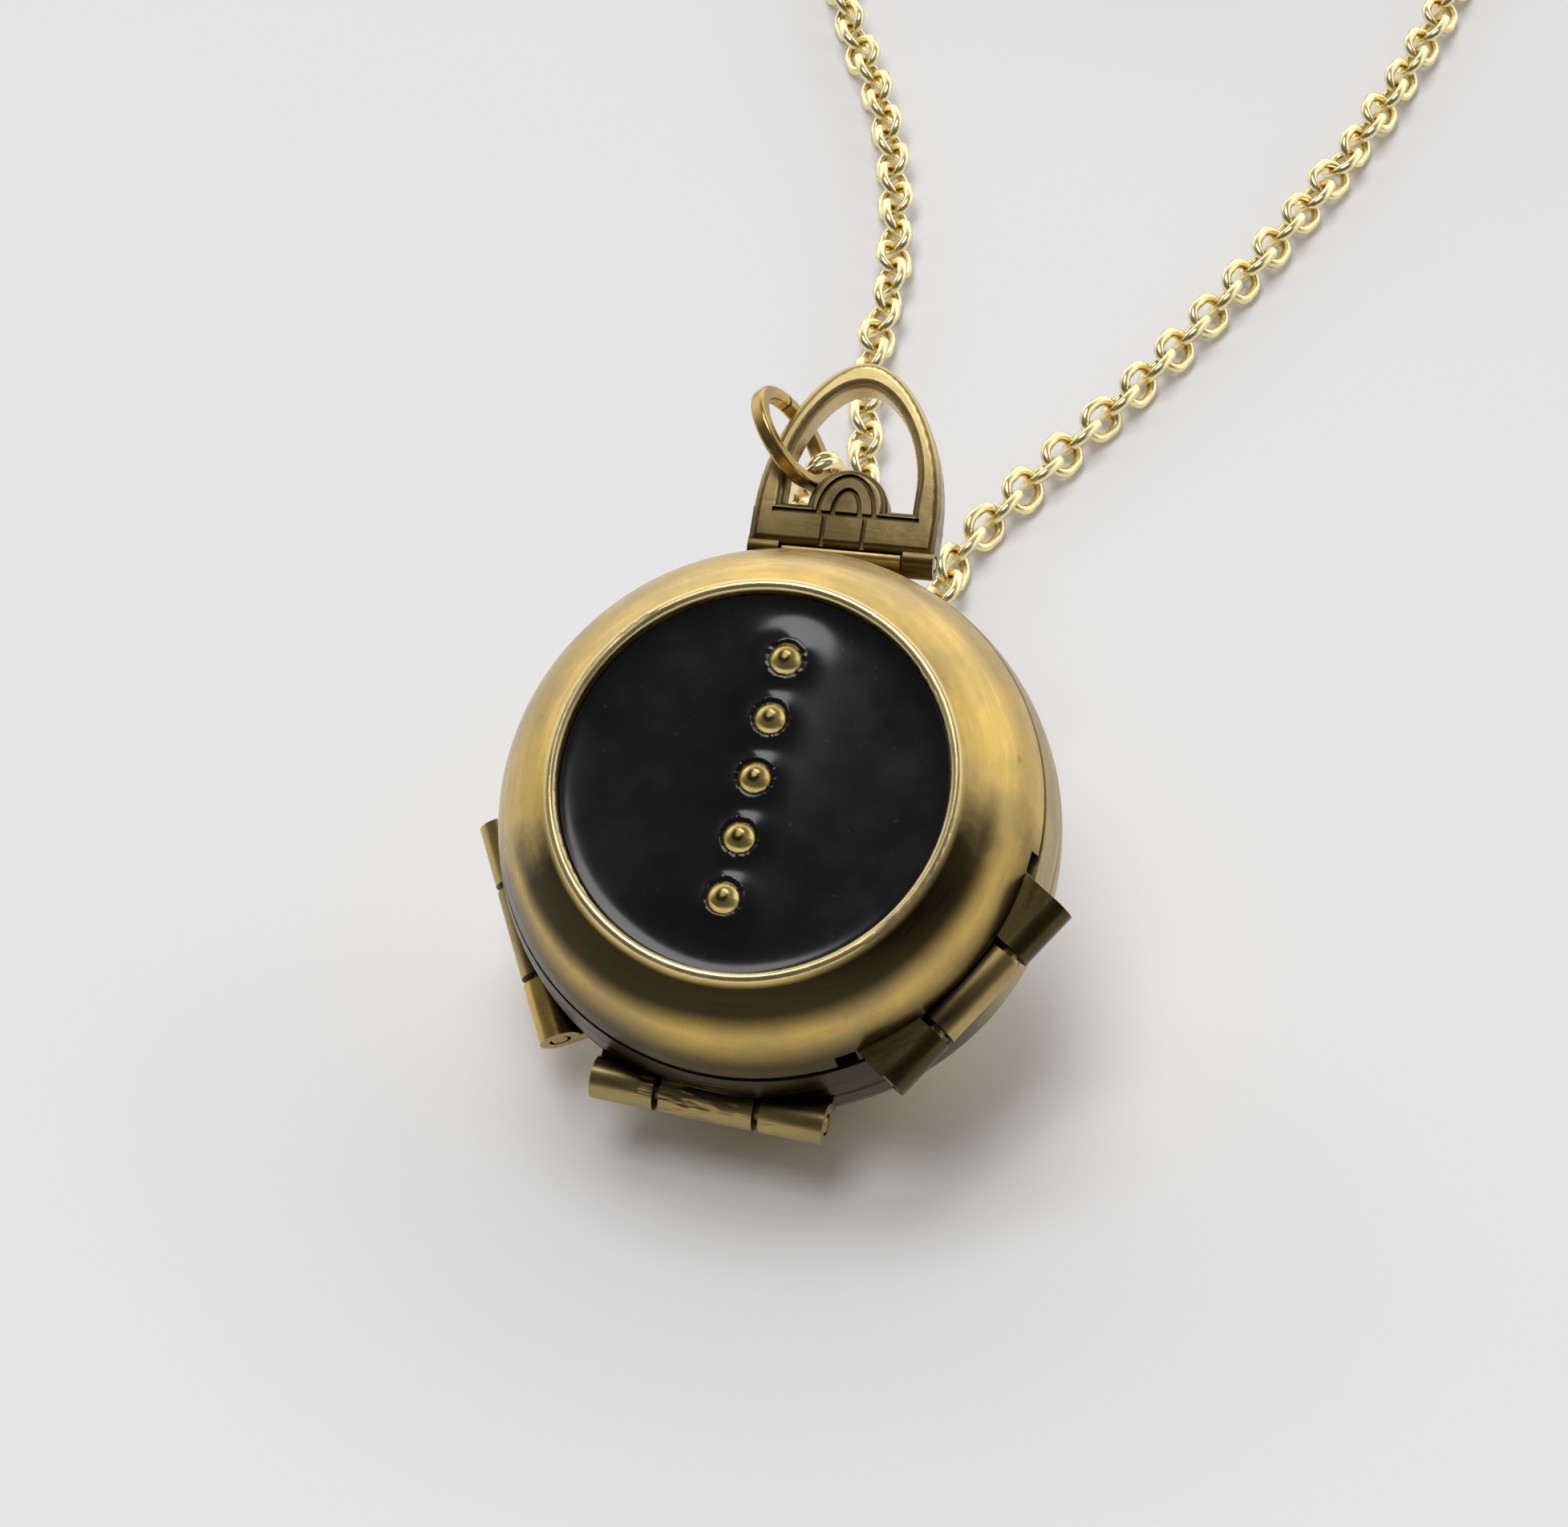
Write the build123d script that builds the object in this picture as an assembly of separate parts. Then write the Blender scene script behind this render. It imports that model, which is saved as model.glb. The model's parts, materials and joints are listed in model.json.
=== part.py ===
from build123d import *
import math
import os

os.makedirs("parts", exist_ok=True)

# A ball locket that unfolds into four hinged leaves, with a hinged bail, a jump ring and a chain.
#
# Part frame: millimetres, +Z up, Z = 0 is the surface that the locket lies on, and the origin is under the
# middle of the locket without its chain. The locket lies on its back dome, with its front tipped up.
#
# Locket frame: u across, v towards the bail, w out of the front, with its zero at the centre of the ball.
# The leaves part on planes of constant w. Angles round the ball run clockwise from the bail, seen from the
# front.

# ---------------------------------------------------------------- driving dimensions
BALL_R = 10.0
BALL_Y = -3.3            # ball centre, behind the middle of the locket's length
FRONT_TILT = 56.0        # elevation of the front's outward direction, degrees
LEAF_T = 2.2             # pitch of the two inner leaves
SEAM = 0.05              # half of the gap between two closed leaves
RIM_ROUND = 0.14         # rounding of the leaf rims
LEAF_WEB = 0.5           # divider between a leaf's two photo sides

RECESS_R = 8.6           # recess that holds a photo, its window and its retaining ring
RECESS_DEPTH = 0.8
PHOTO_T = 0.15
WINDOW_T = 0.25
RETAINER_T = 0.35
RETAINER_IN_R = 7.7
RETAINER_BEVEL = 0.15
PLAY = 0.03              # radial play of what drops into a recess

TRAY_R = 8.95
TRAY_FLOOR = 0.3
TRAY_LEDGE_R = 8.5
BACK_WALL = 0.6

ENAMEL_R = 6.9
LIP_R = 7.3
LIP_W = 6.05             # height of the front's lip above the ball's centre
LIP_CREST = 0.09
DOME_MID = (8.93, 4.25)  # (radius, w) of a point half-way up the front dome
ENAMEL_BED_W = 5.1
ENAMEL_T = 0.5
BED_SHEET = 0.45
BED_EDGE = 0.5           # the sheet under the enamel ends this far inside its edge
UNDER_DOME_MID = (7.9, 4.25)

BEAD_R = 0.65
BEAD_PITCH = 2.2
BEAD_COUNT = 5
BEAD_OFFSET_V = 0.15
BEAD_CROWN = 0.42

KNUCKLE_R = 0.75
HINGE_OUT = 0.1          # hinge axes stand this far outside the leaf rims
HINGE_LENGTH = 8.5
KNUCKLE_MID = 3.4
KNUCKLE_GAP = 0.25
KNUCKLE_REACH = 2.4
HINGE_PIN_R = 0.35
HINGE_PIN_CHAMFER = 0.08
PIN_PLAY = 0.05
SWING_PLAY = 0.12        # room round a knuckle in the neighbouring leaf
HINGES = {"a": (240.0, -LEAF_T), "b": (180.0, 0.0), "c": (120.0, LEAF_T)}
NOTCH_START = 26.8       # angle from a hinge's middle to the slots past its ends, degrees
NOTCH_ARC = 4.6
NOTCH_BOTTOM_R = 9.3

BAIL_SKEW = 5.5          # the bail sits turned this far round the front's normal, degrees
BAIL_MID_U = 0.36
BAIL_PIN_V = 10.95
BAIL_PIN_W = -1.6
BAIL_T = 1.3
BAIL_HALF = 3.43
BAIL_BASE_V = 11.05
BAIL_SHOULDER_V = 12.4
BAIL_TOP_V = 18.31
BAIL_HOLE_HALF = 2.4
BAIL_SILL_V = 12.65
BAIL_HOLE_TOP_V = 17.33
BAIL_HOLE_LEG = 0.9      # straight part of the opening's sides
ARCH_PULL = 0.49         # fullness of the pointed arches, up and across
ARCH_CROWN = 0.48
BAIL_TAB_R = 1.48
BAIL_KNUCKLE_R = 0.6
BAIL_KNUCKLE_IN = 2.3
BAIL_STRAP_STEP = 0.1    # the straps stop this far behind the knuckles' front
BAIL_PIN_R = 0.25
BAIL_PIN_CHAMFER = 0.06
BAIL_EDGE_FRONT = 0.3
BAIL_EDGE_BACK = 0.15
GROOVE_W = 0.18
GROOVE_DEPTH = 0.15
GROOVE_V = 12.33
GROOVE_HALF = 2.72
GROOVE_UPRIGHT_U = 0.75
GROOVE_RUN_OUT = 0.3
GROOVE_ARCHES = ((1.03, 1.48), (0.5, 0.95))  # (half width, height) of the arches cut in the tab

LUG_R = 0.42
LUG_HALF = 2.2
LUG_PLAY = 0.08
HEEL_BACK = (8.9, -4.4)  # (v, w) of the heel's corners, buried in the shell and outside it
HEEL_FRONT = (8.9, -2.4)
HEEL_OUT = (10.65, -3.1)
LUG_SOLDER_R = 10.0
LUG_CLEAR_R = 10.15

RING_CENTRE = (-3.66, 15.01, -1.6)
RING_AXIS = (-0.757, -0.537, -0.373)
RING_R = 1.86
RING_WIRE = 0.56
RING_WIRE_ROUND = 0.15
RING_CUT = 3.0           # angle of the sawn gap, degrees
RING_CUT_AT = 205.0

CHAIN_D = 1.9
STRAND_LENGTH = 225.0
FLOOR_Z = 0.96
COIL_MID_R = 10.5
COIL_PITCH = 2.0
LEFT_TURNS = 2.2
RIGHT_TURNS = 1.8
LEFT_COIL = (-9.0, 84.4)
RIGHT_COIL = (-3.5, 111.3)
LEFT_ROUTE = (
    (-3.8, 11.0, 13.2),
    (-4.2, 11.8, 9.8),
    (-4.5, 13.4, 6.4),
    (-4.7, 16.6, 3.0),
    (-5.0, 20.8, FLOOR_Z),
    (-5.6, 25.5, FLOOR_Z),
    (-6.7, 30.5, FLOOR_Z),
    (-8.5, 37.0, FLOOR_Z),
    (-9.2, 43.5, FLOOR_Z),
    (-11.0, 50.2, FLOOR_Z),
    (-13.6, 57.0, FLOOR_Z),
    (-17.6, 63.9, FLOOR_Z),
    (-20.2, 71.4, FLOOR_Z),
    (-21.2, 77.4, FLOOR_Z),
    (-21.5, 83.6, FLOOR_Z),
)
RIGHT_ROUTE = (
    (-1.6, 11.0, 13.2),
    (-1.5, 11.8, 9.8),
    (-1.3, 13.4, 6.4),
    (-1.1, 16.6, 3.0),
    (-1.1, 20.8, FLOOR_Z),
    (-1.5, 25.4, FLOOR_Z),
    (0.2, 31.2, FLOOR_Z),
    (2.3, 37.7, FLOOR_Z),
    (4.3, 44.6, FLOOR_Z),
    (6.1, 52.4, FLOOR_Z),
    (7.6, 60.2, FLOOR_Z),
    (8.5, 67.6, FLOOR_Z),
    (9.0, 75.0, FLOOR_Z),
    (9.3, 82.6, FLOOR_Z),
    (9.4, 90.4, FLOOR_Z),
    (9.3, 98.0, FLOOR_Z),
    (9.05, 105.4, FLOOR_Z),
    (8.75, 110.9, FLOOR_Z),
)

CLASP_R = 2.4
CLASP_TUBE_R = 0.75
CLASP_BORE_R = 0.5
CLASP_BOLT_R = 0.42
CLASP_OPEN = 50.0        # angle of the clasp's mouth, degrees
CLASP_BOLT_ARC = 118.0
CLASP_TRAVEL = 42.0
CLASP_KNOB_R = 0.32
CLASP_KNOB_AT = 19.0     # angle of the knob past the mouth, degrees
CLASP_KNOB_OUT = 0.55
CLASP_SLOT_AT = 8.0      # angle from the mouth to the knob's slot, degrees
CLASP_SLOT_ARC = 64.0
CLASP_SLOT_PLAY = 0.08
END_RING_R = 1.25
END_RING_WIRE_R = 0.28
LOOP_R = 0.85
LOOP_WIRE_R = 0.22
LINK_R = 0.5
LINK_WIRE_R = 0.18
LINK_PLAY = 0.02
LOOP_BITE = 0.1          # the loop runs this far into the clasp's tube
END_RING_IN = 4.2        # from the right coil's centre to its end ring

# ---------------------------------------------------------------- frames
LOCKET = Plane(
    origin=(0, BALL_Y, BALL_R),
    x_dir=(1, 0, 0),
    z_dir=(0, -math.cos(math.radians(FRONT_TILT)), math.sin(math.radians(FRONT_TILT))),
).location
BAIL_FRAME = LOCKET * Rot(0, 0, BAIL_SKEW) * Pos(BAIL_MID_U, 0, 0)


def rim_radius(w):
    return math.sqrt(BALL_R**2 - w**2)


def hinge_frame(name):
    """Origin on the hinge's axis, X along it, Y outward, Z with the locket's front."""
    angle, w = HINGES[name]
    a = math.radians(angle)
    reach = rim_radius(w) + HINGE_OUT
    origin = (reach * math.sin(a), reach * math.cos(a), w)
    return Plane(origin=origin, x_dir=(math.cos(a), -math.sin(a), 0), z_dir=(0, 0, 1)).location


# ---------------------------------------------------------------- small helpers
def turned(*edges):
    """Solid turned about the w axis from an outline given as (radius, w)."""
    return revolve(make_face(Plane.XZ * Curve(edges)), Axis.Z)


def ring(outer, inner, low, high):
    size = (Align.CENTER, Align.CENTER, Align.MIN)
    solid = Cylinder(outer, high - low, align=size)
    if inner:
        solid -= Cylinder(inner, high - low, align=size)
    return Pos(0, 0, low) * solid


def rod(radius, start, end):
    """Round bar along X from start to end."""
    return Pos((start + end) / 2, 0, 0) * Rot(0, 90, 0) * Cylinder(radius, end - start)


def block(low, high):
    size = [b - a for a, b in zip(low, high)]
    middle = [(a + b) / 2 for a, b in zip(low, high)]
    return Pos(*middle) * Box(*size)


# ---------------------------------------------------------------- hinges
def knuckle_spans(part):
    """The stretches of a hinge's axis that its outer pair or its middle knuckle takes."""
    half = HINGE_LENGTH / 2
    inner = KNUCKLE_MID / 2
    if part == "middle":
        return [(-inner, inner)]
    return [(-half, -inner - KNUCKLE_GAP), (inner + KNUCKLE_GAP, half)]


def knuckles(name, part, side):
    """Rolled knuckles with the straps that join them to a leaf above (side 1) or below (side -1) the seam."""
    frame = hinge_frame(name)
    solid = Part()
    for start, end in knuckle_spans(part):
        low, high = sorted((side * SEAM, side * KNUCKLE_R))
        strap = block((start, -KNUCKLE_REACH, low), (end, 0, high))
        solid += frame * (rod(KNUCKLE_R, start, end) + strap)
    solid -= ring(TRAY_R + 0.1, 0, -BALL_R, BALL_R)
    return solid


def hinge_bore(name):
    return hinge_frame(name) * rod(HINGE_PIN_R + PIN_PLAY, -HINGE_LENGTH, HINGE_LENGTH)


def hinge_room(name, part):
    """Space that the neighbour's knuckles turn in."""
    room = Part()
    for start, end in knuckle_spans(part):
        room += rod(KNUCKLE_R + SWING_PLAY, start - SWING_PLAY, end + SWING_PLAY)
    return hinge_frame(name) * room


def hinged(solid, own, others):
    """Adds a leaf's own knuckles and cuts room for its neighbours'."""
    for name, part in others:
        solid -= hinge_room(name, part)
    for name, part, side in own:
        solid += knuckles(name, part, side)
    for name in {entry[0] for entry in own + others}:
        solid -= hinge_bore(name)
    return solid


def hinge_pin(name):
    half = HINGE_LENGTH / 2
    pin = rod(HINGE_PIN_R, -half, half)
    return hinge_frame(name) * chamfer(pin.edges().filter_by(GeomType.CIRCLE), HINGE_PIN_CHAMFER)


# ---------------------------------------------------------------- photo sides
def photo_side(seat, out):
    """A photo, its window and its retaining ring, stacked from the seat plane in direction out."""
    levels = [seat]
    for thick in (PHOTO_T, WINDOW_T, RETAINER_T):
        levels.append(levels[-1] + out * thick)
    disc_r = RECESS_R - PLAY
    photo = ring(disc_r, 0, *sorted(levels[0:2]))
    window = ring(disc_r, 0, *sorted(levels[1:3]))
    inner, outer = levels[2:4]
    outline = Polyline(
        (disc_r, inner),
        (disc_r, outer),
        (RETAINER_IN_R + RETAINER_BEVEL, outer),
        (RETAINER_IN_R, outer - out * RETAINER_BEVEL),
        (RETAINER_IN_R, inner),
        close=True,
    )
    return {"photo": photo, "window": window, "retaining_ring": turned(*outline.edges())}


def tray(out):
    """Pressed pan that closes a shell's dome; its mouth faces the seam."""
    mouth = out * (LEAF_T + 2 * SEAM)
    base = out * (LEAF_T + SEAM + RECESS_DEPTH + TRAY_FLOOR)
    floor = base - out * TRAY_FLOOR
    return ring(TRAY_R, 0, *sorted((mouth, base))) - ring(RECESS_R, 0, *sorted((mouth, floor)))


# ---------------------------------------------------------------- leaves and shells
def leaf(low):
    """Round plate with a spherical rim and a recess on each side."""
    bottom, top = low + SEAM, low + LEAF_T - SEAM
    middle = low + LEAF_T / 2
    web_low, web_high = middle - LEAF_WEB / 2, middle + LEAF_WEB / 2
    low_rim, high_rim = (rim_radius(bottom), bottom), (rim_radius(top), top)
    edges = [
        *Polyline((0, web_low), (RECESS_R, web_low), (RECESS_R, bottom), low_rim).edges(),
        ThreePointArc(low_rim, (rim_radius(middle), middle), high_rim),
        *Polyline(high_rim, (RECESS_R, top), (RECESS_R, web_high), (0, web_high), (0, web_low)).edges(),
    ]
    outline = make_face(Plane.XZ * Curve(edges))
    outline = fillet(outline.vertices().group_by(Axis.X)[-1], RIM_ROUND)
    return revolve(outline, Axis.Z)


def leaf_sides(low):
    middle = low + LEAF_T / 2
    return {"back": photo_side(middle - LEAF_WEB / 2, -1), "front": photo_side(middle + LEAF_WEB / 2, 1)}


def front_shell():
    mouth = LEAF_T + SEAM
    ledge = LEAF_T + SEAM + RECESS_DEPTH + TRAY_FLOOR
    under = ENAMEL_BED_W - BED_SHEET
    pocket = TRAY_R + PLAY
    mouth_rim = (rim_radius(mouth), mouth)
    lip_in = (ENAMEL_R, LIP_W - LIP_CREST)
    bed_end = (ENAMEL_R - BED_EDGE, under)
    edges = [
        ThreePointArc(mouth_rim, DOME_MID, (LIP_R, LIP_W)),
        ThreePointArc((LIP_R, LIP_W), ((LIP_R + ENAMEL_R) / 2, LIP_W + LIP_CREST), lip_in),
        *Polyline(lip_in, (ENAMEL_R, ENAMEL_BED_W), (0, ENAMEL_BED_W), (0, under), bed_end).edges(),
        ThreePointArc(bed_end, UNDER_DOME_MID, (TRAY_LEDGE_R, ledge)),
        *Polyline((TRAY_LEDGE_R, ledge), (pocket, ledge), (pocket, mouth), mouth_rim).edges(),
    ]
    outline = make_face(Plane.XZ * Curve(edges))
    rim = outline.vertices().sort_by_distance((rim_radius(mouth), 0, mouth))[0]
    shell = revolve(fillet(rim, RIM_ROUND), Axis.Z)
    shell -= end_notches("c")
    return hinged(shell, [("c", "outer", 1)], [("c", "middle")])


def end_notches(name):
    """Slots in a rim just past both ends of a hinge."""
    angle, w = HINGES[name]
    wide = 2 * (BALL_R - NOTCH_BOTTOM_R)
    section = Plane.XZ * Pos(BALL_R, w) * Rectangle(wide, 2 * KNUCKLE_R)
    notches = Part()
    for start in (NOTCH_START, -NOTCH_START - NOTCH_ARC):
        notches += Rot(0, 0, 90 - angle + start) * revolve(section, Axis.Z, NOTCH_ARC)
    return notches


def back_shell():
    mouth = -LEAF_T - SEAM
    ledge = mouth - RECESS_DEPTH - TRAY_FLOOR
    pocket = TRAY_R + PLAY
    inside_r = BALL_R - BACK_WALL
    inside_w = -math.sqrt(inside_r**2 - TRAY_LEDGE_R**2)
    half = math.sqrt(0.5)
    edges = [
        ThreePointArc((rim_radius(mouth), mouth), (BALL_R * half, -BALL_R * half), (0, -BALL_R)),
        Line((0, -BALL_R), (0, -inside_r)),
        ThreePointArc((0, -inside_r), (inside_r * half, -inside_r * half), (TRAY_LEDGE_R, inside_w)),
        *Polyline((TRAY_LEDGE_R, inside_w), (TRAY_LEDGE_R, ledge), (pocket, ledge), (pocket, mouth)).edges(),
        Line((pocket, mouth), (rim_radius(mouth), mouth)),
    ]
    outline = make_face(Plane.XZ * Curve(edges))
    rim = outline.vertices().sort_by_distance((rim_radius(mouth), 0, mouth))[0]
    shell = revolve(fillet(rim, RIM_ROUND), Axis.Z)
    return hinged(shell, [("a", "outer", -1)], [("a", "middle")])


def enamel_inlay():
    inlay = ring(ENAMEL_R - PLAY, 0, ENAMEL_BED_W, ENAMEL_BED_W + ENAMEL_T)
    for v in bead_places():
        inlay -= Pos(0, v, 0) * ring(BEAD_R + PLAY, 0, ENAMEL_BED_W, LIP_W)
    return inlay


def bead_places():
    middle = (BEAD_COUNT - 1) / 2
    return [BEAD_OFFSET_V + BEAD_PITCH * (middle - i) for i in range(BEAD_COUNT)]


def bead():
    """Stud with a domed top, seated on the enamel's metal bed."""
    crown = ENAMEL_BED_W + ENAMEL_T
    cap_r = (BEAD_R**2 + BEAD_CROWN**2) / (2 * BEAD_CROWN)
    half_way = math.asin(BEAD_R / cap_r) / 2
    cap_mid = (cap_r * math.sin(half_way), crown + BEAD_CROWN - cap_r * (1 - math.cos(half_way)))
    edges = [
        *Polyline((0, ENAMEL_BED_W), (BEAD_R, ENAMEL_BED_W), (BEAD_R, crown)).edges(),
        ThreePointArc((BEAD_R, crown), cap_mid, (0, crown + BEAD_CROWN)),
        Line((0, crown + BEAD_CROWN), (0, ENAMEL_BED_W)),
    ]
    return turned(*edges)


# ---------------------------------------------------------------- bail, its lug and the jump ring
def arch(half, base, shoulder, top):
    """Pointed arch outline with straight legs up to the shoulder."""
    rise = top - shoulder
    pull = ARCH_PULL * rise
    crown = ARCH_CROWN * half
    right = Bezier((half, shoulder), (half, shoulder + pull), (crown, top), (0, top))
    left = Bezier((0, top), (-crown, top), (-half, shoulder + pull), (-half, shoulder))
    legs = Polyline((-half, shoulder), (-half, base), (half, base), (half, shoulder))
    return make_face([right, left, *legs.edges()])


def bail_grooves():
    """Lines cut in the bail's front: a sill line, two uprights under it, and round arches in the tab."""
    half = GROOVE_W / 2
    face = Pos(0, GROOVE_V) * Rectangle(2 * GROOVE_HALF, GROOVE_W)
    for side in (-1, 1):
        low, high = BAIL_BASE_V - GROOVE_RUN_OUT, GROOVE_V
        face += Pos(side * GROOVE_UPRIGHT_U, (low + high) / 2) * Rectangle(GROOVE_W, high - low)
    for wide, tall in GROOVE_ARCHES:
        band = Ellipse(wide + half, tall + half) - Ellipse(wide - half, tall - half)
        face += Pos(0, GROOVE_V) * (band & Pos(0, tall) * Rectangle(4 * wide, 2 * tall))
    return extrude(face, GROOVE_DEPTH)


def bail():
    outside = arch(BAIL_HALF, BAIL_BASE_V, BAIL_SHOULDER_V, BAIL_TOP_V)
    opening = arch(BAIL_HOLE_HALF, BAIL_SILL_V, BAIL_SILL_V + BAIL_HOLE_LEG, BAIL_HOLE_TOP_V)
    opening -= Pos(0, BAIL_SILL_V) * Circle(BAIL_TAB_R)
    plate = Pos(0, 0, -BAIL_T / 2) * extrude(outside - opening, BAIL_T)
    front = plate.edges().group_by(Axis.Z)[-1]
    plate = fillet(front, BAIL_EDGE_FRONT)
    back = plate.edges().group_by(Axis.Z)[0]
    above_base = back.filter_by(lambda edge: edge.center().Y > BAIL_BASE_V + BAIL_EDGE_BACK)
    plate = fillet(above_base, BAIL_EDGE_BACK)
    pin_line = Pos(0, BAIL_PIN_V, 0)
    for side in (-1, 1):
        ends = sorted((side * BAIL_KNUCKLE_IN, side * BAIL_HALF))
        low = (ends[0], BAIL_PIN_V, -BAIL_KNUCKLE_R)
        high = (ends[1], BAIL_SHOULDER_V, BAIL_KNUCKLE_R - BAIL_STRAP_STEP)
        strap = block(low, high)
        plate += pin_line * rod(BAIL_KNUCKLE_R, *ends) + strap
    plate -= pin_line * rod(LUG_R + LUG_PLAY, -BAIL_KNUCKLE_IN, BAIL_KNUCKLE_IN)
    plate -= pin_line * rod(BAIL_PIN_R + PIN_PLAY, -BALL_R, BALL_R)
    plate -= Pos(0, 0, BAIL_T / 2 - GROOVE_DEPTH) * bail_grooves()
    return BAIL_FRAME * Pos(0, 0, BAIL_PIN_W) * plate


def bail_pin():
    pin = rod(BAIL_PIN_R, -BAIL_HALF, BAIL_HALF)
    pin = chamfer(pin.edges().filter_by(GeomType.CIRCLE), BAIL_PIN_CHAMFER)
    return BAIL_FRAME * Pos(0, BAIL_PIN_V, BAIL_PIN_W) * pin


def bail_lug():
    """Tube for the bail's pin, on a heel soldered to the back shell."""
    pin_line = Pos(0, BAIL_PIN_V, BAIL_PIN_W)
    heel = Polyline(
        (BAIL_PIN_V, BAIL_PIN_W),
        (BAIL_PIN_V, BAIL_PIN_W - LUG_R),
        HEEL_OUT,
        HEEL_BACK,
        HEEL_FRONT,
        (BAIL_PIN_V - LUG_R, BAIL_PIN_W - LUG_R),
        (BAIL_PIN_V - LUG_R, BAIL_PIN_W),
        close=True,
    )
    lug = pin_line * rod(LUG_R, -LUG_HALF, LUG_HALF)
    lug += extrude(Plane.YZ * make_face(heel), LUG_HALF, both=True)
    lug -= pin_line * rod(BAIL_PIN_R + PIN_PLAY, -BALL_R, BALL_R)
    lug = Rot(0, 0, BAIL_SKEW) * Pos(BAIL_MID_U, 0, 0) * lug
    lug -= Sphere(LUG_SOLDER_R)
    lug -= Sphere(LUG_CLEAR_R) & ring(2 * BALL_R, 0, -LEAF_T - 3 * SEAM, BALL_R)
    return LOCKET * lug


def jump_ring():
    wire = RectangleRounded(RING_WIRE, RING_WIRE, RING_WIRE_ROUND)
    wire = Plane.XZ * Pos(RING_R, 0) * wire
    solid = revolve(wire, Axis.Z, 360 - RING_CUT)
    frame = Plane(origin=RING_CENTRE, z_dir=RING_AXIS).location
    return LOCKET * frame * Rot(0, 0, RING_CUT_AT) * solid


# ---------------------------------------------------------------- chain and clasp
def corner_radii(route):
    """0.45 of the shorter run beside each corner, divided by the tangent of half the turn."""
    radii = []
    for before, corner, after in zip(route, route[1:], route[2:]):
        coming = Vector(*corner) - Vector(*before)
        going = Vector(*after) - Vector(*corner)
        half_turn = math.radians(coming.get_angle(going) / 2)
        radii.append(0.45 * min(coming.length, going.length) / math.tan(half_turn))
    return radii


def strand(name, route, coil_solid):
    """Tube along a strand's route, up to the coil that takes the rest of it."""
    radii = corner_radii(route)
    path = FilletPolyline(*route, radius=radii)
    tube = sweep((path ^ 0) * Circle(CHAIN_D / 2), path=path)
    ideal = math.pi * (CHAIN_D / 2) ** 2 * path.length
    print(name, "length", round(path.length, 1), "radii", [round(r, 1) for r in radii])
    print(name, "volume / (section x length)", round(tube.volume / ideal, 4))
    coiled = STRAND_LENGTH - path.length
    print(name, "turns that make up the strand:", round(coiled / (2 * math.pi * COIL_MID_R), 2))
    return tube - coil_solid


def coil(centre, turns):
    """Outer shape of the turns that put away the rest of a strand, a hair taller than the strand."""
    spread = (turns * COIL_PITCH + CHAIN_D) / 2
    return Pos(*centre, 0) * ring(COIL_MID_R + spread, COIL_MID_R - spread, 0, 2 * FLOOR_Z)


def torus_arc(radius, tube, start, arc):
    section = Plane.XZ * Pos(radius, 0) * Circle(tube)
    return Rot(0, 0, start) * revolve(section, Axis.Z, arc)


def clasp_frame():
    return Pos(*LEFT_COIL, CLASP_TUBE_R)


def slot_wedge(reach, half):
    """Wedge between the two ends of the knob's travel."""
    section = Plane.XZ * Pos(reach / 2, 0) * Rectangle(reach, 2 * half)
    return revolve(section, Axis.Z, CLASP_SLOT_ARC)


def clasp_body():
    """Spring-ring clasp: a round tube with a mouth, a slot for the knob and a loop for the chain."""
    tube = torus_arc(CLASP_R, CLASP_TUBE_R, CLASP_OPEN, 360 - CLASP_OPEN)
    tube -= torus_arc(CLASP_R, CLASP_BORE_R, CLASP_OPEN - 2, CLASP_BOLT_ARC + CLASP_TRAVEL)
    reach = CLASP_R + 2 * CLASP_TUBE_R
    half = CLASP_KNOB_R + CLASP_SLOT_PLAY
    slot = Rot(0, 0, CLASP_OPEN + CLASP_SLOT_AT) * slot_wedge(reach, half) & ring(reach, CLASP_R, -half, half)
    loop = Pos(0, CLASP_R + CLASP_TUBE_R + LOOP_R - LOOP_BITE, 0) * torus_arc(LOOP_R, LOOP_WIRE_R, 0, 360)
    return clasp_frame() * (tube - slot + Rot(0, 0, 180) * loop)


def clasp_bolt():
    """Curved bolt that closes the clasp's mouth, with the knob that draws it back."""
    bolt = torus_arc(CLASP_R, CLASP_BOLT_R, 1.0, CLASP_BOLT_ARC - 1.0)
    knob_at = CLASP_OPEN + CLASP_KNOB_AT
    knob = rod(CLASP_KNOB_R, CLASP_R + 0.1, CLASP_R + CLASP_TUBE_R + CLASP_KNOB_OUT)
    return clasp_frame() * (bolt + Rot(0, 0, knob_at) * knob)


def clasp_link():
    """Small ring between the clasp's loop and the left strand."""
    loop_end = CLASP_R + CLASP_TUBE_R + 2 * LOOP_R - LOOP_BITE - LOOP_WIRE_R
    reach = loop_end + LINK_R - LINK_WIRE_R - LINK_PLAY
    return clasp_frame() * Pos(0, -reach, 0) * Rot(0, 90, 0) * torus_arc(LINK_R, LINK_WIRE_R, 0, 360)


def chain_end_ring():
    """Ring on the right strand's end, for the clasp to catch."""
    place = Pos(RIGHT_COIL[0], RIGHT_COIL[1] - END_RING_IN, END_RING_WIRE_R)
    return place * torus_arc(END_RING_R, END_RING_WIRE_R, 0, 360)


# ---------------------------------------------------------------- the nodes
def add_sides(nodes, prefix, sides):
    for name, solid in sides.items():
        nodes[f"{prefix}_{name}"] = LOCKET * solid


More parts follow.
